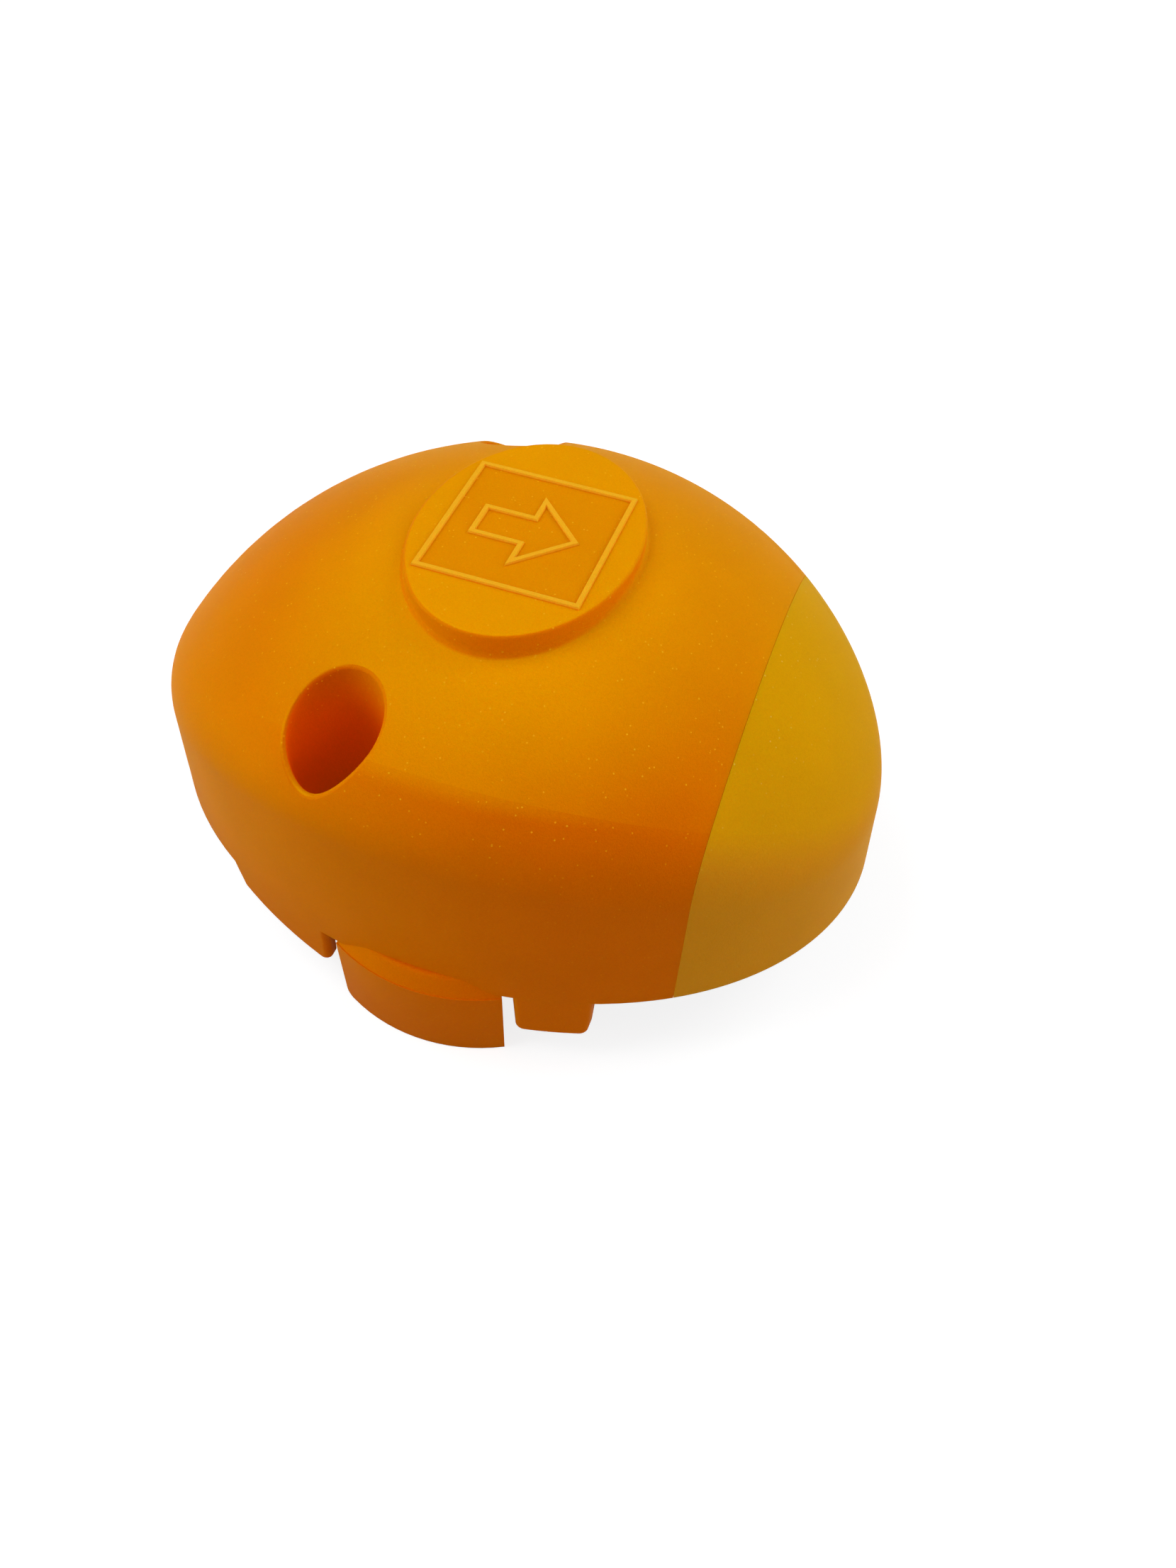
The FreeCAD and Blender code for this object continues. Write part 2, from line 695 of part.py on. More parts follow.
def raised_outline(name, points):
    """A raised line along a closed outline on the badge pad, with sloping sides."""
    height = size["line_height"]
    outline = make("Sketcher::SketchObject", f"{name}_outline")
    draw_lines(outline, points)
    place(outline, size["badge_shift"], 0, badge_top - height)
    inner = make("Part::Offset2D", f"{name}_inner_outline")
    inner.Source = outline
    inner.Join = 2
    inner.setExpression("Value", (-size["line_width"]).text)
    solids = []
    for source, lean in ((outline, -size["line_draft"]), (inner, size["line_draft"])):
        solid = make("Part::Extrusion", f"{source.Name}_solid")
        solid.Base = source
        solid.DirMode = "Custom"
        solid.Dir = (0, 0, 1)
        solid.Solid = True
        solid.setExpression("LengthFwd", (height * 2).text)
        solid.setExpression("TaperAngle", f"{lean.text} * 1deg")
        solids.append(solid)
    return cut(f"{name}_relief", *solids)


def badge_relief():
    """A plain frame on the badge pad, with a plain arrow in it."""
    length = size["frame_length"] / 2
    width = size["frame_width"] / 2
    frame = ((-length, -width), (length, -width), (length, width), (-length, width))
    tip = size["arrow_length"] / 2
    half = size["arrow_width"] / 2
    shaft = size["arrow_shaft_width"] / 2
    neck = size["arrow_shaft_length"] - tip
    arrow = (
        (-tip, -shaft), (neck, -shaft), (neck, -half), (tip, zero),
        (neck, half), (neck, shaft), (-tip, shaft))
    return raised_outline("frame", frame), raised_outline("arrow", arrow)


# ---- the cap and the lens ----

def hollow_form():
    """The standing form with its badge relief, emptied by the core that leaves the wall."""
    core = domed_block("core", size["wall"], zero - 1)
    return cut("hollow_form", fuse("form_with_badge", standing_form(), *badge_relief()), core)


def dome_cover(shell):
    """The orange cap, with wells, bosses, ledge, ribs and the tongue that carries the lens."""
    seam = size["seam_place"]
    items = [ledge("cover_ledge", rim_start, seam)]
    holes = []
    for side_name, side in (("front", -1), ("rear", 1)):
        items.append(well_tube(f"{side_name}_well", side))
        items.append(crown_rib(f"{side_name}_crown_rib", side))
        floor = size["well_floor_height"] - seal_face
        holes.append(sleeve_hole(f"{side_name}_floor_hole", side, seal_face, floor))
    for number, where in enumerate(cover_screw_places(), start=1):
        items.append(boss(f"cover_boss_{number}", where))
        holes.append(pilot(f"cover_pilot_{number}", where))
    root_start = seam - size["tongue_root"]
    reach = size["wall"] - size["lap"]
    root = domed_shell("tongue_root", reach, tongue_inner, arch_bottom, root_start, seam)
    tongue = domed_shell("tongue", tongue_inset, tongue_inner, arch_bottom, root_start, tongue_end)
    shell_half = common("cover_shell", shell, half_space("cover_side", rim_start, seam))
    inside = inner_parts("cover_inside", items)
    body = fuse("cover_body", shell_half, inside, root, tongue)
    return cut("dome_cover", body, fuse("cover_holes", *holes))


def end_lens(shell):
    """The yellow lens: the dome's end, with a stop rib for the gasket and one screw boss."""
    start = size["seam_place"] + size["seam_gap"]
    shell_half = common("lens_shell", shell, half_space("lens_side", start, rim_end))
    where = lens_screw_place()
    reach = size["wall"] - size["lap"]
    stop_end = gasket_end + size["stop_rib"]
    stop = domed_shell("lens_stop", reach, tongue_inner, seal_face, gasket_end, stop_end)
    inside = inner_parts("lens_inside", [ledge("lens_ledge", start, rim_end), boss("lens_boss", where)])
    body = fuse("lens_body", shell_half, inside, stop)
    return cut("end_lens", body, pilot("lens_pilot", where))


def lens_gasket():
    """Rubber arch between the tongue's end and the lens's stop rib."""
    start = tongue_end + size["seal_gap"]
    end = start + size["gasket_thickness"]
    return domed_shell("lens_gasket", tongue_inset, tongue_inner, arch_bottom, start, end)


# ---- base plate and its seal ----

def base_plate():
    """Plate that closes the cap, stiffened by ribs and bored for screws and sleeves."""
    inset = size["wall"] + size["plate_gap"]
    body = new_body("base_plate", z=plate_bottom)
    outline = new_sketch(body, "plate_outline", "XY_Plane")
    draw_ellipse(outline, size["rim_half_length"] - inset, size["rim_half_width"] - inset)
    pad(body, outline, size["plate_thickness"])
    ribs = new_sketch(body, "plate_ribs", "XY_Plane", size["plate_thickness"])
    half = size["rib_thickness"] / 2
    back = -(size["rim_half_length"] * size["plate_rib_back"])
    front = size["rim_half_length"] * size["plate_rib_front"]
    for side in (-1, 1):
        middle = size["plate_rib_side"] * side
        low, high = middle - half, middle + half
        draw_lines(ribs, ((back, low), (front, low), (front, high), (back, high)))
    pad(body, ribs, size["plate_rib_height"])
    holes = new_sketch(body, "plate_holes", "XY_Plane")
    for where in cover_screw_places() + (lens_screw_place(),):
        draw_circle(holes, size["small_hole_radius"], *where)
    for where in carrier_screw_places():
        draw_circle(holes, size["pilot_radius"], *where)
    for side in (-1, 1):
        draw_circle(holes, size["sleeve_radius"] + size["sleeve_gap"], *well_place(side))
    pocket(body, holes, size["plate_thickness"], True)
    return body


def base_gasket():
    """Flat rubber ring on the plate, with an eyelet round each sleeve."""
    bottom = plate_top + size["seal_gap"]
    top = bottom + size["base_gasket_thickness"]
    outer = size["wall"] + size["plate_gap"]
    inner = outer + size["base_gasket_width"]
    ring = cut(
        "base_gasket_ring", skirt_block("base_gasket_outer", outer, bottom, top),
        skirt_block("base_gasket_inner", inner, bottom - 1, top + 1))
    discs = []
    holes = []
    thickness = size["base_gasket_thickness"]
    for side_name, side in (("front", -1), ("rear", 1)):
        radius = size["well_radius"] + size["well_wall"]
        discs.append(cylinder(f"{side_name}_eyelet", radius, thickness, *well_place(side), bottom))
        holes.append(sleeve_hole(f"{side_name}_eyelet_hole", side, bottom, thickness))
    for number, where in enumerate(cover_screw_places() + (lens_screw_place(),), start=1):
        radius = size["small_hole_radius"]
        holes.append(cylinder(f"base_gasket_hole_{number}", radius, thickness, *where, bottom))
    limit = skirt_block("base_gasket_limit", outer, bottom, top)
    eyelets = common("base_gasket_eyelets", fuse("base_gasket_discs", *discs), limit)
    whole = fuse("base_gasket_whole", ring, eyelets)
    return cut("base_gasket", whole, fuse("base_gasket_holes", *holes))


# ---- screws, washers and sleeves ----

def round_body_edges(body, name, radius, wanted):
    """Round edges of the body's last feature."""
    doc.recompute()
    last = body.Tip
    edges = [f"Edge{number}" for number, edge in enumerate(last.Shape.Edges, start=1) if wanted(edge)]
    feature = body.newObject("PartDesign::Fillet", name)
    feature.Base = (last, edges)
    feature.setExpression("Radius", radius.text)
    last.Visibility = False
    return feature


def at_height(height, radius):
    """A test for a round edge at a height with at least a radius."""

    def fits(edge):
        limits = edge.BoundBox
        level = abs(limits.ZMin - height.value) < SMALL and limits.ZLength < SMALL
        return level and limits.XLength > 2 * radius.value - SMALL

    return fits


def turned_screw(name, shank, length, point, head, head_height, steps=()):
    """A screw on Z, head seat at zero; steps are corners of its shank between point and head."""
    body = new_body(name)
    section = new_sketch(body, f"{name}_section", "XZ_Plane")
    outline = [(zero, -length), (shank, point - length), *steps]
    top = steps[-1][0] if steps else shank
    outline += [(top, zero), (head, zero), (head, head_height), (zero, head_height)]
    draw_lines(section, outline)
    revolve(body, section)
    return body


def fixing_screw(name, side):
    """Hexagon-socket screw that holds the marker down through a well."""
    thread = size["screw_radius"]
    length = head_seat - size["screw_tip_height"]
    steps = ((thread, rim - head_seat), (size["shank_radius"], rim - head_seat))
    head = size["head_radius"]
    height = size["head_height"]
    body = turned_screw(name, thread, length, size["screw_point"], head, height, steps)
    round_body_edges(body, f"{name}_rounding", size["head_edge_radius"], at_height(height, head))
    socket = new_sketch(body, f"{name}_socket", "XY_Plane", height)
    corner = size["socket_radius"]
    across = corner * math.sqrt(3) / 2
    points = (
        (corner, zero), (corner / 2, across), (-(corner / 2), across),
        (-corner, zero), (-(corner / 2), -across), (corner / 2, -across))
    draw_lines(socket, points)
    pocket(body, socket, size["socket_depth"], False)
    x, y = well_place(side)
    return place(body, x, y, head_seat)


def small_screw(name, where, seat, length, points_up):
    """Pan-head screw with a cross recess."""
    head = size["small_head_radius"]
    height = size["small_head_height"]
    shank = size["small_screw_radius"]
    body = turned_screw(name, shank, length, size["small_point"], head, height)
    round_body_edges(body, f"{name}_rounding", size["small_edge_radius"], at_height(height, head))
    cross = new_sketch(body, f"{name}_cross", "XY_Plane", height)
    short = size["small_slot_width"] / 2
    long = size["small_slot_length"] / 2
    points = (
        (long, -short), (long, short), (short, short), (short, long), (-short, long), (-short, short),
        (-long, short), (-long, -short), (-short, -short), (-short, -long), (short, -long), (short, -short))
    draw_lines(cross, points)
    pocket(body, cross, size["small_slot_depth"], False)
    if points_up:
        body.Placement.Rotation = FreeCAD.Rotation(FreeCAD.Vector(1, 0, 0), 180)
    return place(body, *where, seat)


def screw_group(name, places, seat, length, points_up):
    """Identical screws as one group of separate solids."""
    screws = []
    for number, where in enumerate(places, start=1):
        screws.append(small_screw(f"{name}_{number}", where, seat, length, points_up))
    group = make("Part::Compound", name)
    group.Links = screws
    return group


def well_fittings(side_name, side):
    """What sits in and under one well."""
    where = well_place(side)
    washer = size["washer_radius"]
    hole = size["washer_hole_radius"]
    seal = size["washer_seal_thickness"]
    sleeve_height = size["well_floor_height"] - plate_bottom
    return [
        fixing_screw(f"{side_name}_fixing_screw", side),
        ring_body(f"{side_name}_washer", washer, hole, size["washer_thickness"], *where, washer_seat + seal),
        ring_body(f"{side_name}_washer_seal", washer, hole, seal, *where, washer_seat),
        ring_body(
            f"{side_name}_sleeve", size["sleeve_radius"], size["sleeve_hole_radius"], sleeve_height,
            *where, plate_bottom)]


# ---- reflector behind the lens ----

def facet_run():
    """Length of a side facet along its face."""
    sweep = size["reflector_sweep"]
    rise = size["reflector_reach"] - size["reflector_half_width"]
    value = math.hypot(sweep.value, rise.value)
    return Size(value, f"sqrt({sweep.text} ^ 2 + {rise.text} ^ 2)"), sweep, rise


def facet_bend(depth, along=0):
    """Corner between middle and side facet, at a depth behind the faces, moved along the side facet."""
    run, sweep, rise = facet_run()
    along = as_size(along)
    x = reflector_place - depth - sweep / run * along
    y = size["reflector_half_width"] - depth * (run - rise) / sweep + rise / run * along
    return x, y


def facet_end(depth):
    """Outer end of a side facet at a depth behind its face."""
    run, sweep, rise = facet_run()
    x = reflector_place - sweep - depth * rise / run
    y = size["reflector_reach"] - depth * sweep / run
    return x, y


def mirrored(points, side):
    return [(x, as_size(y) * side) for x, y in points]


def plan_body(name, points, bottom, height):
    """A body raised from a plan outline."""
    body = new_body(name, z=bottom)
    sketch = new_sketch(body, f"{name}_plan", "XY_Plane")
    draw_lines(sketch, points)
    pad(body, sketch, height)
    return body


def reflectors():
    """Three prismatic plates: one across the middle and two that fall back beside it."""
    thickness = size["reflector_thickness"]
    bottom = size["reflector_bottom"]
    height = size["reflector_height"]
    gap = size["reflector_gap"]
    face = facet_bend(zero)
    back = facet_bend(thickness)
    middle = [(x, y - gap) for x, y in (face, back)]
    outline = middle + [(x, -y) for x, y in reversed(middle)]
    plates = [plan_body("reflector_centre", outline, bottom, height)]
    side_plan = [facet_bend(zero, gap), facet_end(zero), facet_end(thickness), facet_bend(thickness, gap)]
    plates.append(plan_body("reflector_front", mirrored(side_plan, -1), bottom, height))
    plates.append(plan_body("reflector_rear", mirrored(side_plan, 1), bottom, height))
    return plates


def reflector_carrier():
    """Folded wall that the plates are glued to, with a foot screwed to the base plate."""
    front = size["reflector_thickness"] + size["glue_gap"]
    back = front + size["carrier_thickness"]
    half = [facet_bend(front), facet_end(front), facet_end(back), facet_bend(back)]
    upper = [half[3], half[2], half[1], half[0]]
    outline = upper + [(x, -y) for x, y in half]
    body = plan_body("reflector_carrier", outline, plate_top, size["carrier_top"] - plate_top)
    foot_plan = new_sketch(body, "carrier_foot", "XY_Plane")
    x, y = facet_bend(front + size["carrier_thickness"] / 2)
    start = x - size["carrier_foot_length"]
    draw_lines(foot_plan, ((start, -y), (x, -y), (x, y), (start, y)))
    pad(body, foot_plan, size["carrier_thickness"])
    holes = new_sketch(body, "carrier_holes", "XY_Plane")
    for where in carrier_screw_places():
        draw_circle(holes, size["small_hole_radius"], *where)
    pocket(body, holes, size["carrier_thickness"], True)
    return body


# ---- build, check and write ----

shell = hollow_form()
nodes = [dome_cover(shell), end_lens(shell), lens_gasket(), base_plate(), base_gasket(), reflector_carrier()]
nodes += reflectors()
small_length = size["small_screw_length"]
nodes.append(screw_group("cover_screws", cover_screw_places(), plate_bottom, small_length, True))
nodes.append(small_screw("lens_screw", lens_screw_place(), plate_bottom, small_length, True))
carrier_seat = plate_top + size["carrier_thickness"]
nodes.append(
    screw_group("carrier_screws", carrier_screw_places(), carrier_seat, size["carrier_screw_length"], False))
for side_name, side in (("front", -1), ("rear", 1)):
    nodes += well_fittings(side_name, side)
doc.recompute()

for item in doc.Objects:
    if "Invalid" in item.State or "Error" in item.State:
        raise ValueError(f"{item.Name} did not compute: {item.State}")
for node in nodes:
    if node.Shape.isNull() or not node.Shape.isValid():
        raise ValueError(f"{node.Label} has no valid shape")

os.makedirs("parts", exist_ok=True)
for node in nodes:
    node.Shape.exportStep(f"parts/{node.Label}.step")
    print(node.Label, len(node.Shape.Solids), round(node.Shape.Volume, 1))
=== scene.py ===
# %% [markdown]
# # A two-tone road marker cap
# The object is a domed cap of orange plastic with a yellow end lens. It stands on two curved
# collars and four feet, and two deep wells let a driver reach the screws that hold it to the
# road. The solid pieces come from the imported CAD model, which fixes every size and joint. This
# script gives each of them its finish, and builds the two screws whose fine shape the CAD model
# only stands in for.

import json
import math

import bpy
from mathutils import Matrix, Vector

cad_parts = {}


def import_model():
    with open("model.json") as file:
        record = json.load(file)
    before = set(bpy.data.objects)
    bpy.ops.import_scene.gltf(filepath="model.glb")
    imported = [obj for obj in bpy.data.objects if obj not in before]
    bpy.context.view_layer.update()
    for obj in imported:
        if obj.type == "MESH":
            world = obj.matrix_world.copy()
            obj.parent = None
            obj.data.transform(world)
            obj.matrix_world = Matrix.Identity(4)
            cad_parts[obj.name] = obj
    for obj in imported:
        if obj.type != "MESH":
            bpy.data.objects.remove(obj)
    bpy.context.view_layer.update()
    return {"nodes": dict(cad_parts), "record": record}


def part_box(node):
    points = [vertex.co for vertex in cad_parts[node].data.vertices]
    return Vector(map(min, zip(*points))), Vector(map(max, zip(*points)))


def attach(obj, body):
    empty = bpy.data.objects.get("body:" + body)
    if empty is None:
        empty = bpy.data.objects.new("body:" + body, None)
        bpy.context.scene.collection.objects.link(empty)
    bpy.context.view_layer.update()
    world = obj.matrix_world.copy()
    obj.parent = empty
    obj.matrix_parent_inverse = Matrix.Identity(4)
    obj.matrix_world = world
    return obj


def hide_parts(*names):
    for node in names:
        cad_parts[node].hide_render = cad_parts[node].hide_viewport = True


MM = 0.001
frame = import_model()
nodes = frame["nodes"]
print(len(nodes), "pieces in the frame")


# %% [markdown]
# ## How a finish is built
# A finish could be an image wrapped round the piece, but then its grain would stretch and blur.
# Here it is a small network of nodes instead. Colours are written as hex, as a paint chart gives
# them, and turned linear once. Patterns are laid out in the part's own millimetres, so that grain
# keeps its real size on every piece.

# %% Helpers for colours and nodes
def linear(code):
    """A hex sRGB colour as linear RGBA."""
    channels = [int(code[start:start + 2], 16) / 255 for start in (1, 3, 5)]
    return [c / 12.92 if c <= 0.04045 else ((c + 0.055) / 1.055) ** 2.4 for c in channels] + [1.0]


def add(tree, kind, inputs=None, **settings):
    """Add a node. Each input takes a number, a hex colour or another node's output."""
    node = tree.nodes.new(kind)
    for name, value in settings.items():
        setattr(node, name, value)
    for name, value in (inputs or {}).items():
        if isinstance(value, bpy.types.NodeSocket):
            tree.links.new(value, node.inputs[name])
        else:
            node.inputs[name].default_value = linear(value) if isinstance(value, str) else value
    return node


def new_material(name):
    """An empty material and its node tree."""
    material = bpy.data.materials.new(name)
    material.use_nodes = True
    material.node_tree.nodes.clear()
    return material, material.node_tree


print("orange is", [round(channel, 3) for channel in linear("#F3A600")], "in linear light")


# %% [markdown]
# ## Patterns and masks
# A mask is a number that is 1 where something shows and 0 where it doesn't. Most of them start
# from a position or a direction and fade from 0 to 1 between two values, which gives soft edges.
# Masks that are multiplied show only where all of them do.

# %% Patterns and masks that every finish uses
def place_in_part(tree):
    """Coordinates in the part's own frame, in metres."""
    return add(tree, "ShaderNodeTexCoord").outputs["Object"]


def part_axes(tree):
    """The part's X, Y and Z, in metres, each on an output of its own."""
    return add(tree, "ShaderNodeSeparateXYZ", {"Vector": place_in_part(tree)}).outputs


def speckle(tree, size_mm, detail=2.0, stretch=(1, 1, 1)):
    """Cloudy noise whose patches are about a given size."""
    where = add(
        tree, "ShaderNodeMapping", {"Vector": place_in_part(tree), "Scale": stretch})
    noise = add(
        tree, "ShaderNodeTexNoise",
        {"Vector": where.outputs["Vector"], "Scale": 1 / (size_mm * MM), "Detail": detail,
         "Roughness": 0.55})
    return noise.outputs["Fac"]


def fade(tree, value, start, end, low=0.0, high=1.0, curve="SMOOTHSTEP"):
    """Go from low to high while a value goes from start to end, and stay there beyond."""
    span = add(
        tree, "ShaderNodeMapRange",
        {"Value": value, "From Min": start, "From Max": end, "To Min": low, "To Max": high},
        interpolation_type=curve)
    return span.outputs["Result"]


def times(tree, *masks):
    """1 only where every mask is 1."""
    product = masks[0]
    for mask in masks[1:]:
        node = add(tree, "ShaderNodeMath", {0: product, 1: mask}, operation="MULTIPLY")
        product = node.outputs[0]
    return product


def away_from(tree, value, middle):
    """Distance of a value from a middle, on either side."""
    offset = add(tree, "ShaderNodeMath", {0: value, 1: middle}, operation="SUBTRACT").outputs[0]
    return add(tree, "ShaderNodeMath", {0: offset}, operation="ABSOLUTE").outputs[0]


def lay_over(tree, mask, under, over):
    """One tone over another where the mask is 1."""
    layers = add(tree, "ShaderNodeMix", {0: mask, 6: under, 7: over}, data_type="RGBA")
    return layers.outputs[2]


def grained(tree, height, depth_mm, strength=1.0):
    """A surface direction with grain of a given depth in it."""
    relief = add(
        tree, "ShaderNodeBump", {"Height": height, "Strength": strength, "Distance": depth_mm * MM})
    return relief.outputs["Normal"]


# %% [markdown]
# ## Moulded shell and lens
# Both are injection-moulded in a coloured, slightly translucent thermoplastic. The mould is
# spark-eroded, so the skin has a fine matt grain of about a third of a millimetre. Light and
# shade are also painted into the colour: a painted lit orange yellow on the crown and the sides
# that face the lamps, a painted deeper shade on the walls that turn away from the light, and a
# painted saturated red orange with a painted glow in the bores of the two wells. A few grain tips
# are smoother and carry a painted glint. A single colour with plain light would leave the cap flat
# and chalky, so these painted tones are laid over each other by direction and height, and light
# also scatters for a couple of millimetres under the skin.

# %% Where the badge, the seam and the wells lie
LINE_HEIGHT = 0.4 * MM
BADGE_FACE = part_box("dome_cover")[1][2] - LINE_HEIGHT
FRAME_MIDDLE = (1.3 * MM, 0)
FRAME_HALF = (12.0 * MM, 12.2 * MM)
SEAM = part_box("end_lens")[0][0]
mount_radius = {
    mount["name"]: mount["dims"].get("r_mm", 0) * MM for mount in frame["record"]["mounts"]}
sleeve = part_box("front_sleeve")
WELL_X = (sleeve[0][0] + sleeve[1][0]) / 2
WELL_Y = abs(sleeve[0][1] + sleeve[1][1]) / 2
WELL_RADIUS = mount_radius["front_well"]
print("seam at", round(SEAM / MM, 1), "mm; wells at", round(WELL_X / MM, 1), "and",
      round(WELL_Y / MM, 1), "mm, radius", round(WELL_RADIUS / MM, 2), "mm")


# %% Masks for the parts of the shell
def turned_to(tree, direction):
    """How far a surface faces a direction: 1 when it faces it squarely, 0 when edge on."""
    normal = add(tree, "ShaderNodeNewGeometry").outputs["Normal"]
    facing = add(
        tree, "ShaderNodeVectorMath", {0: normal, 1: Vector(direction).normalized()},
        operation="DOT_PRODUCT")
    return facing.outputs["Value"]


def on_lines(tree):
    """1 on the raised outlines of the badge pad, which get a painted highlight."""
    return fade(tree, part_axes(tree)["Z"], BADGE_FACE + 0.02 * MM, BADGE_FACE + 0.2 * MM)


def in_frame(tree):
    """1 on the smoother field inside the badge's frame."""
    axes = part_axes(tree)
    masks = [fade(tree, axes["Z"], BADGE_FACE - 0.3 * MM, BADGE_FACE - 0.1 * MM)]
    for axis, middle, half in zip("XY", FRAME_MIDDLE, FRAME_HALF):
        masks.append(fade(tree, away_from(tree, axes[axis], middle), half, half - 0.1 * MM))
    return times(tree, *masks)


def beside_seam(tree):
    """1 inside the fine gap between cap and lens, where a painted glow goes."""
    return fade(tree, away_from(tree, part_axes(tree)["X"], SEAM), 0.1 * MM, 0.07 * MM)


def in_well(tree):
    """1 on the walls of the two screw wells, fading out at their mouths, where a painted red and a
    painted glow go.
    """
    axes = part_axes(tree)
    flat = add(
        tree, "ShaderNodeCombineXYZ", {"X": axes["X"], "Y": away_from(tree, axes["Y"], 0)})
    reach = add(
        tree, "ShaderNodeVectorMath", {0: flat.outputs["Vector"], 1: (WELL_X, WELL_Y, 0)},
        operation="DISTANCE")
    return times(
        tree,
        fade(tree, reach.outputs["Value"], WELL_RADIUS + 0.3 * MM, WELL_RADIUS + 0.05 * MM),
        fade(tree, axes["Z"], 65 * MM, 47 * MM))


def polished_tips_with_painted_glint(tree):
    """1 on a few scattered grain tips, which are smoother and get a painted glint, fewer lower
    down.
    They are drawn coarser than real ones, to show at all.
    """
    cells = add(
        tree, "ShaderNodeTexVoronoi", {"Vector": place_in_part(tree), "Scale": 1 / (0.5 * MM)},
        feature="F1")
    chosen = add(tree, "ShaderNodeSeparateColor", {"Color": cells.outputs["Color"]})
    return times(
        tree,
        fade(tree, chosen.outputs["Red"], 0.93, 0.96),
        fade(tree, cells.outputs["Distance"], 0.35, 0.15),
        fade(tree, part_axes(tree)["Z"], 42 * MM, 58 * MM, 0.15, 1.0))


# %% Painted light and shade in layers of tone
# Each side of the shell that gets a painted light tone: the direction that it faces, how squarely
# a surface has to face it for the tone to start and to be full, and the heights in millimetres
# between which it comes in.
PAINTED_LIGHT_END_SIDE = {"direction": (-0.83, -0.5, 0.24), "turn": (0.2, 0.98), "heights": (-8, 35)}
PAINTED_LIGHT_BACK_SIDE = {
    "direction": (0.29, 0.62, 0.72), "turn": (0.3, 0.86), "heights": (36, 51), "most": 0.7}
PAINTED_LIGHT_SHELL_TOP = {"direction": (0.02, -0.24, 0.92), "turn": (0.85, 1.05), "heights": (20, 36)}
PAINTED_LIGHT_LENS_TOP = {"direction": (0, 0.3, 0.95), "turn": (0.1, 0.8), "heights": (20, 36)}
# Heights in millimetres above which the badge pad's upright edge gets a painted lighter tone.
PAINTED_LIGHT_PAD_HEIGHTS = (62, 65)


def at_height(tree, start_mm, end_mm):
    """0 below one height and 1 above another."""
    return fade(tree, part_axes(tree)["Z"], start_mm * MM, end_mm * MM)


def painted_light_on_side(tree, direction, turn, heights, most=1.0):
    """A mask for one side of the shell, which gets a painted light tone."""
    return times(
        tree, fade(tree, turned_to(tree, direction), *turn, 0, most), at_height(tree, *heights))


def tone_with_painted_light(tree, tones, top, tips):
    """Painted shade on the walls, painted light on the sides that face the lamps, then the badge,
    the painted glints and the painted red of the wells.
    """
    layers = (
        ("pad", at_height(tree, *PAINTED_LIGHT_PAD_HEIGHTS)),
        ("end", painted_light_on_side(tree, **PAINTED_LIGHT_END_SIDE)),
        ("crown", painted_light_on_side(tree, **top)),
        ("back", painted_light_on_side(tree, **PAINTED_LIGHT_BACK_SIDE)),
        ("field", in_frame(tree)),
        ("glint", on_lines(tree)),
        ("glint", tips),
        ("well", in_well(tree)))
    tone = tones["wall"]
    for name, mask in layers:
        tone = lay_over(tree, mask, tone, tones[name])
    return tone


# %% Translucent plastic with a spark-eroded grain
GRAIN_MM, FINE_GRAIN_MM, CLOUD_MM = 0.3, 0.12, 18
GRAIN_DEPTH_MM = 0.04
MATT, POLISHED = 0.5, 0.2
# Strengths of the painted glow in the wells and in the seam's gap.
PAINTED_WELL_GLOW, PAINTED_SEAM_GLOW = 0.04, 0.06


def moulded(name, tones, top):
    """Grained translucent plastic, with painted light and shade in its colour and a painted red in
    the wells.
    """
    material, tree = new_material(name)
    tips = polished_tips_with_painted_glint(tree)
    grain = add(
        tree, "ShaderNodeMath",
        {0: speckle(tree, GRAIN_MM, 3.0), 1: speckle(tree, FINE_GRAIN_MM, 1.0)},
        operation="ADD").outputs[0]
    mottle = add(tree, "ShaderNodeMath", {0: grain, 1: speckle(tree, CLOUD_MM)}, operation="ADD")
    tone = add(
        tree, "ShaderNodeHueSaturation",
        {"Color": tone_with_painted_light(tree, tones, top, tips),
         "Value": fade(tree, mottle.outputs[0], 0.9, 2.1, 0.9, 1.1, "LINEAR")})
    # Painted glow: a faint emission lights the wells and the seam's gap, in place of light that
    # crosses the thin walls.
    glow = add(
        tree, "ShaderNodeMath",
        {0: fade(tree, in_well(tree), 0, 1, 0, PAINTED_WELL_GLOW, "LINEAR"),
         1: fade(tree, beside_seam(tree), 0, 1, 0, PAINTED_SEAM_GLOW, "LINEAR")}, operation="MAXIMUM")
    # The grain scatters nearly all of the sheen, so the specular level is close to nothing.
    shader = add(
        tree, "ShaderNodeBsdfPrincipled",
        {"Base Color": tone.outputs["Color"],
         "Roughness": fade(tree, tips, 0, 1, MATT, POLISHED, "LINEAR"),
         "Normal": grained(tree, grain, GRAIN_DEPTH_MM),
         "IOR": 1.49, "Specular IOR Level": 0.01, "Specular Tint": tones["glint"],
         "Subsurface Weight": 0.5, "Subsurface Radius": (1.0, 0.35, 0.08),
         "Subsurface Scale": 2 * MM,
         "Emission Color": "#FF9E00", "Emission Strength": glow.outputs[0]})
    add(tree, "ShaderNodeOutputMaterial", {"Surface": shader.outputs["BSDF"]})
    return material


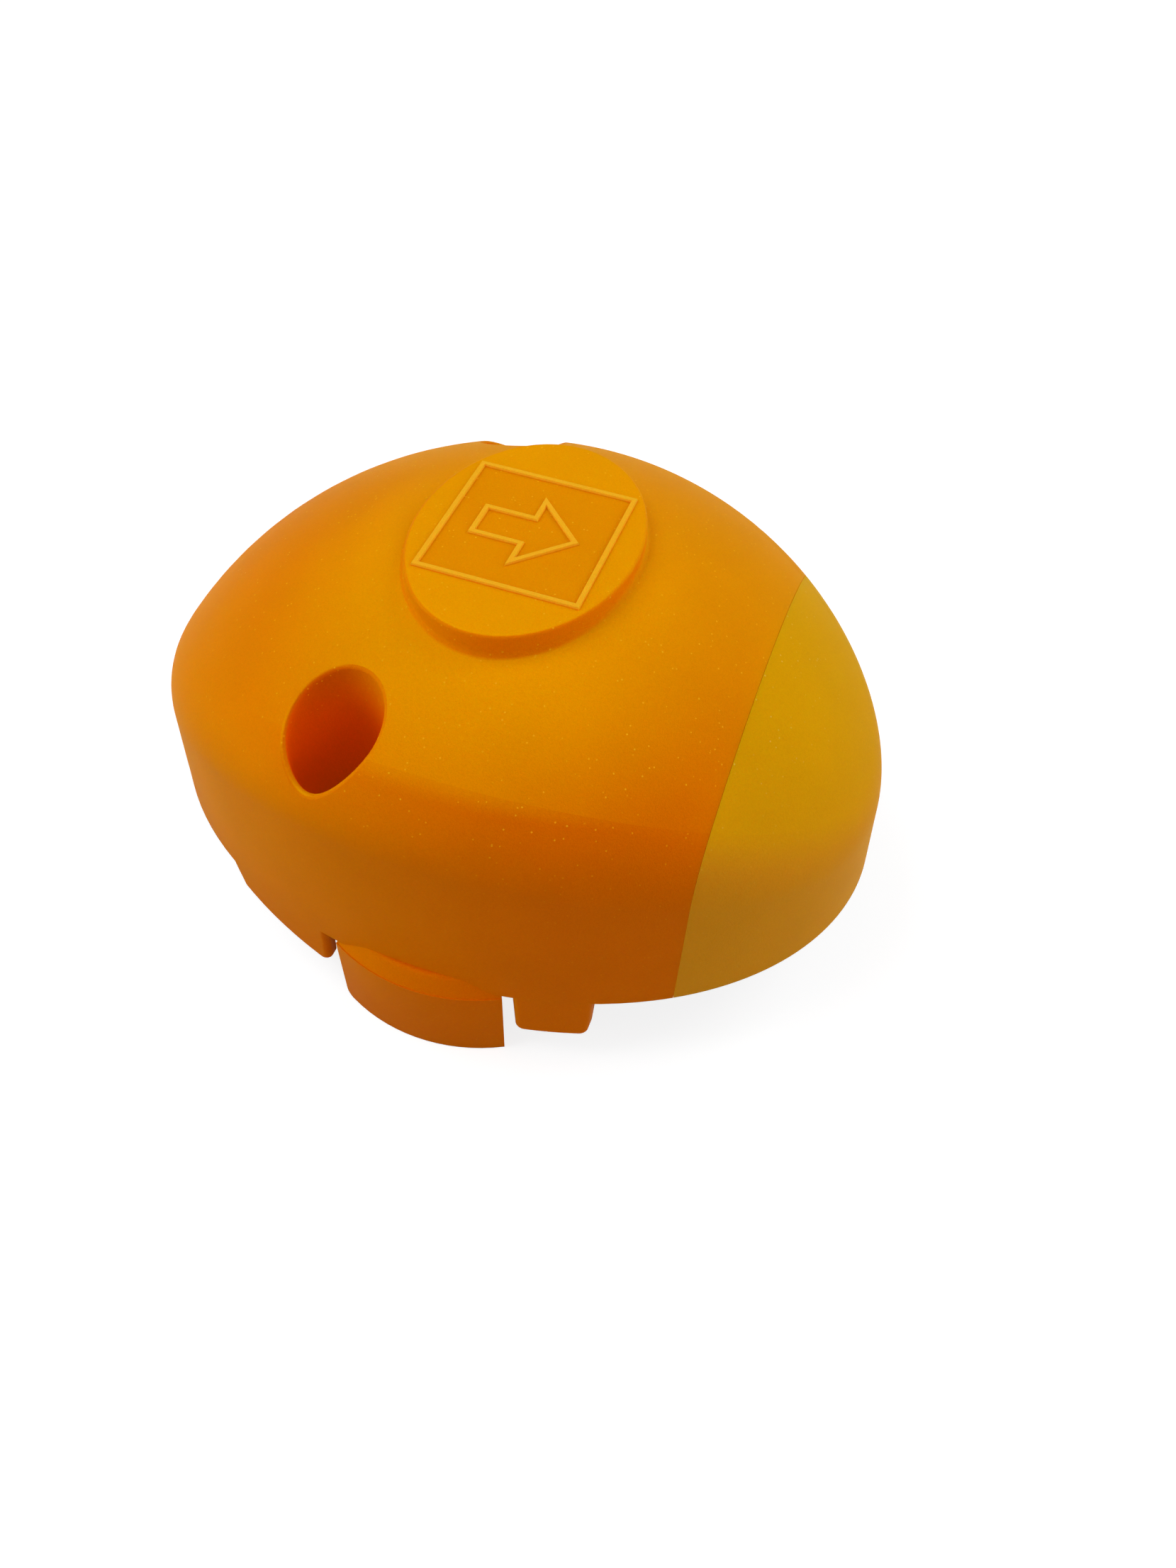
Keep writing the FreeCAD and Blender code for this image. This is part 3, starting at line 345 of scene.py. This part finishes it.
# Moulded, spark-grained plastic looks soft and even, with no sharp reflection anywhere.
# Lit and shaded copies of one orange: painted shade in the wall tone, painted light in the pad,
# end, crown and back tones, a painted red in the well tone and a painted highlight in the glint
# tone. The field's tone is the smoother face's own.
cover_plastic = moulded(
    "orange_plastic_spark_grained",
    {"wall": "#DE6B00", "pad": "#F08000", "end": "#EE8900", "crown": "#F3A600",
     "back": "#EB9C00", "field": "#E88F00", "well": "#F05000", "glint": "#F8B020"},
    PAINTED_LIGHT_SHELL_TOP)
# Lit and shaded copies of one yellow: painted light in the crown and back tones, and a painted
# highlight in the glint tone.
lens_plastic = moulded(
    "yellow_plastic_spark_grained",
    {**dict.fromkeys(("wall", "pad", "end", "field", "well"), "#DE8F16"),
     **dict.fromkeys(("crown", "back"), "#DE9E02"), "glint": "#F0C050"},
    PAINTED_LIGHT_LENS_TOP)
print(cover_plastic.name, "and", lens_plastic.name)


# %% [markdown]
# ## Hidden pieces
# The base plate is glass-filled plastic, mottled by its fibres. Gaskets are moulded rubber,
# screws and washers stainless steel, and the reflector is amber acrylic with a prismatic back.
# Little of this shows from outside, but a look down a well or from below meets it, so each gets
# the finish of its real material in the simplest way: two tones, a grain and a roughness.

# %% Opaque plastic and rubber
def plastic(name, dark, light, roughness, grain_mm, relief_mm):
    """Opaque moulded plastic or rubber with a fine mottle."""
    material, tree = new_material(name)
    mottle = speckle(tree, grain_mm * 6, 4.0)
    grain = speckle(tree, grain_mm, 3.0)
    shader = add(
        tree, "ShaderNodeBsdfPrincipled",
        {"Base Color": lay_over(tree, fade(tree, mottle, 0.3, 0.7), dark, light),
         "Roughness": fade(tree, grain, 0.3, 0.7, roughness - 0.08, roughness + 0.08),
         "Normal": grained(tree, grain, relief_mm), "IOR": 1.5})
    add(tree, "ShaderNodeOutputMaterial", {"Surface": shader.outputs["BSDF"]})
    return material


# Glass fibres near the skin give the plate a grey, slightly uneven matt look.
plate_plastic = plastic("grey_glass_filled_plastic_moulded", "#232426", "#34353A", 0.55, 0.4, 0.03)
# The carrier's light grey plastic is smoother, so that it throws light back.
carrier_plastic = plastic("light_grey_plastic_moulded", "#B2B2AC", "#C6C6C0", 0.45, 0.5, 0.02)
# Rubber is near black and almost without a sheen.
gasket_rubber = plastic("black_rubber_moulded", "#0E0E0E", "#1B1B1B", 0.75, 0.3, 0.03)
washer_rubber = plastic("black_rubber_bonded", "#101010", "#1D1D1D", 0.7, 0.25, 0.02)
print("base plate in", plate_plastic.name)


# %% Steel
def steel(name, dark, light, roughness, stretch):
    """Bare or plated steel with fine lines across the stretched axis."""
    material, tree = new_material(name)
    lines = speckle(tree, 0.3, 3.0, stretch)
    stain = speckle(tree, 3, 3.0)
    shader = add(
        tree, "ShaderNodeBsdfPrincipled",
        {"Base Color": lay_over(tree, fade(tree, stain, 0.3, 0.7), dark, light),
         "Metallic": 1.0,
         "Roughness": fade(tree, lines, 0.3, 0.7, roughness - 0.08, roughness + 0.1),
         "Normal": grained(tree, lines, 0.01, 0.5)})
    add(tree, "ShaderNodeOutputMaterial", {"Surface": shader.outputs["BSDF"]})
    return material


# Cold heading and thread rolling leave steel smooth, with faint rings round the axis.
screw_steel = steel("stainless_steel_cold_headed", "#8E8E90", "#B9B9BB", 0.3, (1, 1, 6))
fixing_steel = steel("stainless_steel_rolled_thread", "#86868A", "#B2B2B6", 0.28, (1, 1, 8))
# A stamped washer keeps the lines of the rolled sheet that it is cut from.
washer_steel = steel("stainless_steel_stamped", "#93949A", "#BDBDC2", 0.34, (5, 1, 1))
# Zinc plating is a little duller and warmer than bare steel.
sleeve_steel = steel("zinc_plated_steel_tube", "#9A9A94", "#C2C2BC", 0.36, (1, 1, 5))
print("fixing screws in", fixing_steel.name)


# %% Prismatic acrylic
def prismatic(name, deep, bright, prism_mm):
    """Acrylic whose back is covered in small corner prisms."""
    material, tree = new_material(name)
    cells = add(
        tree, "ShaderNodeTexVoronoi",
        {"Vector": place_in_part(tree), "Scale": 1 / (prism_mm * MM), "Randomness": 0.0},
        feature="F1")
    facets = cells.outputs["Distance"]
    shader = add(
        tree, "ShaderNodeBsdfPrincipled",
        {"Base Color": lay_over(tree, fade(tree, facets, 0.1, 0.6), bright, deep),
         "Roughness": fade(tree, facets, 0.1, 0.6, 0.08, 0.2),
         "Normal": grained(tree, facets, 0.4),
         "IOR": 1.49, "Coat Weight": 0.6, "Coat Roughness": 0.05})
    add(tree, "ShaderNodeOutputMaterial", {"Surface": shader.outputs["BSDF"]})
    return material


# The prisms break the amber into bright and deep facets under a smooth glossy face.
reflector_acrylic = prismatic("amber_acrylic_prismatic", "#9A5A06", "#E0A020", 1.6)
print("reflector in", reflector_acrylic.name)


# %% Give every CAD piece its finish
FINISH = {
    "cover_plastic": cover_plastic,
    "lens_plastic": lens_plastic,
    "gasket_rubber": gasket_rubber,
    "plate_plastic": plate_plastic,
    "carrier_plastic": carrier_plastic,
    "reflector_plastic": reflector_acrylic,
    "screw_steel": screw_steel,
    "fixing_screw_steel": fixing_steel,
    "washer_steel": washer_steel,
    "washer_rubber": washer_rubber,
    "sleeve_steel": sleeve_steel,
}
slot_of = {entry["node"]: entry["material_slot"] for entry in frame["record"]["subparts"]}
for name, piece in nodes.items():
    piece.data.materials.clear()
    piece.data.materials.append(FINISH[slot_of[name]])
    for face in piece.data.polygons:
        face.material_index = 0
print(len(slot_of), "pieces finished")


# %% [markdown]
# ## The two fixing screws
# Each is a hexagon-socket cap screw: a cold-headed steel blank whose thread is rolled, and whose
# head has a fine knurl for the fingers. The CAD model has its thread as a smooth cylinder over the
# crests. Here the thread is a real right-hand helix, so that it stays in step with the socket as
# the screw turns and lifts. A screw modifier could sweep the thread, but would leave an open end
# at the tip and at the shank. Instead the whole screw is one closed skin over a stack of rings,
# whose radius follows the helix, the shank, the head and the socket in turn. Every ring has 48
# points, a number that also fits the six sides of the socket and the ridges of the knurl.

# %% Sizes of the fixing screw
POINTS = 48
ANGLES = [2 * math.pi * number / POINTS for number in range(POINTS)]
PITCH = 2 * math.pi / frame["record"]["behaviour"]["couplings"][0]["ratio"]
RINGS_PER_PITCH = 16
CREST = mount_radius["front_screw_end"]
ROOT = CREST - 0.5 * MM
SHANK = 2.5 * MM
SHANK_END = 2.3 * MM
PLAIN_BELOW_PLATE = 0.5 * MM
HEAD_HEIGHT = 3.4 * MM
HEAD_CHAMFER = 0.3 * MM
HEAD_ROUND = 0.8 * MM
KNURL = (0.35 * MM, 2.3 * MM)
KNURL_DEPTH = 0.2 * MM
SOCKET_MOUTH = 2.55 * MM
SOCKET_CORNER = 2.3 * MM
SOCKET_CHAMFER = 0.3 * MM
SOCKET_DEPTH = 2 * MM
DRILL_POINT = 0.5 * MM
print("thread pitch", round(PITCH / MM, 2), "mm, crest radius", round(CREST / MM, 2), "mm")


# %% Radius of the thread and of the socket
def thread_radius(height, angle):
    """Radius of a right-hand thread: flat root, sloping flanks and a narrow crest."""
    phase = (height / PITCH - angle / (2 * math.pi)) % 1
    rise = 1 - abs(phase - 0.5) / 0.38
    return ROOT + (CREST - ROOT) * min(max(rise * 1.25, 0), 1)


def socket(angle):
    """Distance from the middle to the hexagon's edge."""
    sixth = math.pi / 3
    return SOCKET_CORNER * math.cos(sixth / 2) / math.cos(angle % sixth - sixth / 2)


print("socket across flats", round(2 * socket(math.pi / 6) / MM, 2), "mm")


# %% A closed skin over rings
def ring(centre, height, radius):
    """Points at a height; the radius is a number or a function of the angle."""
    points = []
    for angle in ANGLES:
        reach = radius(angle) if callable(radius) else radius
        points.append(
            (centre[0] + reach * math.cos(angle), centre[1] + reach * math.sin(angle), height))
    return points


def skin(name, rings):
    """A closed mesh from rings of equally many points, with its two ends capped."""
    points = [point for points_of_ring in rings for point in points_of_ring]
    faces = [tuple(reversed(range(POINTS)))]
    for start in range(0, POINTS * (len(rings) - 1), POINTS):
        for number in range(POINTS):
            following = (number + 1) % POINTS
            faces.append((
                start + number, start + following,
                start + POINTS + following, start + POINTS + number))
    faces.append(tuple(range(len(points) - POINTS, len(points))))
    mesh = bpy.data.meshes.new(name)
    mesh.from_pydata(points, [], faces)
    mesh.shade_smooth()
    mesh.set_sharp_from_angle(angle=math.radians(35))
    item = bpy.data.objects.new(name, mesh)
    bpy.context.scene.collection.objects.link(item)
    return item


# %% The rings of a screw, from its tip to the bottom of its socket
def threaded_rings(centre, tip, end):
    """Rings up the thread, held in by a cone at the tip."""
    count = math.ceil((end - tip) / (PITCH / RINGS_PER_PITCH))
    rings = []
    for number in range(count + 1):
        height = tip + (end - tip) * number / count
        cone = 0.05 * MM + (height - tip) * 0.72
        rings.append(ring(centre, height, lambda angle: min(cone, thread_radius(height, angle))))
    return rings


def head_rings(centre, seat, top, head):
    """Rings round the knurled head, over its rounded edge and down into the socket."""
    def knurled(angle):
        return head - KNURL_DEPTH * (1 + math.cos(angle * POINTS / 2)) / 2

    outline = [(seat, head - HEAD_CHAMFER), (seat + HEAD_CHAMFER, head)]
    outline += [(seat + height, knurled) for height in KNURL]
    for step in range(7):
        turn = math.pi / 2 * step / 6
        outline.append((
            top - HEAD_ROUND + HEAD_ROUND * math.sin(turn),
            head - HEAD_ROUND + HEAD_ROUND * math.cos(turn)))
    outline += [
        (top, SOCKET_MOUTH), (top - SOCKET_CHAMFER, socket), (top - SOCKET_DEPTH, socket),
        (top - SOCKET_DEPTH, 1.6 * MM), (top - SOCKET_DEPTH - DRILL_POINT, 0.1 * MM)]
    return [ring(centre, height, radius) for height, radius in outline]


# %% Replace both CAD screws
def fixing_screw(side):
    """The same screw as the CAD node, with its real thread, knurl and socket."""
    node = f"{side}_fixing_screw"
    low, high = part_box(node)
    centre = ((low[0] + high[0]) / 2, (low[1] + high[1]) / 2)
    seat = high[2] - HEAD_HEIGHT
    shank_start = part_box("base_plate")[0][2] - PLAIN_BELOW_PLATE
    rings = threaded_rings(centre, low[2], shank_start)
    rings.append(ring(centre, shank_start, SHANK_END))
    rings.append(ring(centre, shank_start + SHANK - SHANK_END, SHANK))
    rings.append(ring(centre, seat, SHANK))
    rings += head_rings(centre, seat, high[2], (high[0] - low[0]) / 2)
    screw = skin(f"{side}_cap_screw", rings)
    screw.data.materials.append(fixing_steel)
    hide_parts(node)
    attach(screw, f"{side}_screw")
    print(screw.name, len(screw.data.vertices), "points")


fixing_screw("front")
fixing_screw("rear")


# %% [markdown]
# ## Studio and camera
# Soft lamps stand round the object: the strongest to the left and high up, weaker ones behind
# and to the right, so the front wall lies in a gentle shade. A curved paper backdrop is the usual
# way to a white surround. Here a flat sheet and the world do the same: both look near white to
# the camera and in reflections, but light the object only as grey card would, and the sheet
# keeps the soft shadow.

# %% What looks white
def looked_at(tree):
    """1 for the camera's own rays and for those that gloss or glass sends on."""
    light = add(tree, "ShaderNodeLightPath").outputs
    seen = light["Is Camera Ray"]
    for kind in ("Is Glossy Ray", "Is Transmission Ray"):
        node = add(tree, "ShaderNodeMath", {0: seen, 1: light[kind]}, operation="MAXIMUM")
        seen = node.outputs[0]
    return seen


def floor(half=2.0, below=0.2 * MM):
    """A sheet of grey card just under the feet, which looks white."""
    mesh = bpy.data.meshes.new("floor")
    corners = [(-half, -half, 0), (half, -half, 0), (half, half, 0), (-half, half, 0)]
    mesh.from_pydata(corners, [], [(0, 1, 2, 3)])
    plane = bpy.data.objects.new("floor", mesh)
    bpy.context.scene.collection.objects.link(plane)
    plane.location.z = -below
    material, tree = new_material("floor_paper")
    card = add(tree, "ShaderNodeBsdfDiffuse", {"Color": "#A6A6A6"})
    lift = fade(tree, looked_at(tree), 0, 1, 0, 0.78, "LINEAR")
    glow = add(tree, "ShaderNodeEmission", {"Color": (1, 1, 1, 1), "Strength": lift})
    both = add(tree, "ShaderNodeAddShader", {0: card.outputs[0], 1: glow.outputs[0]})
    add(tree, "ShaderNodeOutputMaterial", {"Surface": both.outputs[0]})
    mesh.materials.append(material)


def world(level):
    """Even grey surroundings that look white."""
    scene_world = bpy.data.worlds.new("surroundings")
    bpy.context.scene.world = scene_world
    scene_world.use_nodes = True
    tree = scene_world.node_tree
    tree.nodes.clear()
    strength = fade(tree, looked_at(tree), 0, 1, level, 1.0, "LINEAR")
    glow = add(tree, "ShaderNodeBackground", {"Color": (1, 1, 1, 1), "Strength": strength})
    add(tree, "ShaderNodeOutputWorld", {"Surface": glow.outputs[0]})


floor()
world(0.22)
print("floor and world set")


# %% Lamps
AIM = Vector((0, 0, 0.03))
# Name, place in metres, width and height in metres, power in watts.
LAMPS = (
    ("left_front", (-0.7, -0.5, 0.35), (0.4, 0.5), 1.5),
    ("left_high", (-0.5, -0.1, 0.8), (0.6, 0.6), 3.8),
    ("back_right", (0.5, 0.5, 0.6), (0.5, 0.5), 2.6),
    ("right", (0.8, 0.1, 0.35), (0.4, 0.5), 1.2),
    ("front_right", (0.5, -0.6, 0.35), (0.4, 0.5), 1.2),
)
for name, place, size, power in LAMPS:
    data = bpy.data.lights.new(name, "AREA")
    data.shape = "RECTANGLE"
    data.size, data.size_y = size
    data.energy = power
    lamp = bpy.data.objects.new(name, data)
    lamp.location = place
    lamp.rotation_euler = (AIM - Vector(place)).to_track_quat("-Z", "Y").to_euler()
    bpy.context.scene.collection.objects.link(lamp)
print(len(LAMPS), "lamps")


# %% [markdown]
# ## Camera
# A close wide view from the front right, looking down at the cap. Its direction is built from
# three turns: down by the pitch, round by the turn, and a slight roll of the picture.

# %% Place the camera
CAMERA_PLACE = Vector((50.86, -122.56, 174.65)) * MM
PITCH_DOWN, ROLL, TURN = (math.radians(angle) for angle in (51.03, 2.79, -17.58))
LENS_MM, SENSOR_MM = 27.03, 36


def camera():
    back = Vector((0, -math.sin(PITCH_DOWN), math.cos(PITCH_DOWN)))
    across = Vector((1, 0, 0))
    axes = Matrix((
        math.cos(TURN) * across + math.sin(TURN) * back,
        -math.sin(TURN) * across + math.cos(TURN) * back,
        Vector((0, -math.cos(PITCH_DOWN), -math.sin(PITCH_DOWN))))).transposed()
    right, down, ahead = Matrix.Rotation(ROLL, 3, "Z") @ axes
    data = bpy.data.cameras.new("camera")
    data.sensor_width = SENSOR_MM
    data.lens = LENS_MM
    data.clip_start = 0.01
    item = bpy.data.objects.new("camera", data)
    item.matrix_world = (
        Matrix.Translation(CAMERA_PLACE) @ Matrix((right, -down, -ahead)).transposed().to_4x4())
    bpy.context.scene.collection.objects.link(item)
    bpy.context.scene.camera = item


camera()
bpy.context.scene.view_settings.view_transform = "Standard"
print("camera at", [round(value / MM, 1) for value in CAMERA_PLACE], "mm")
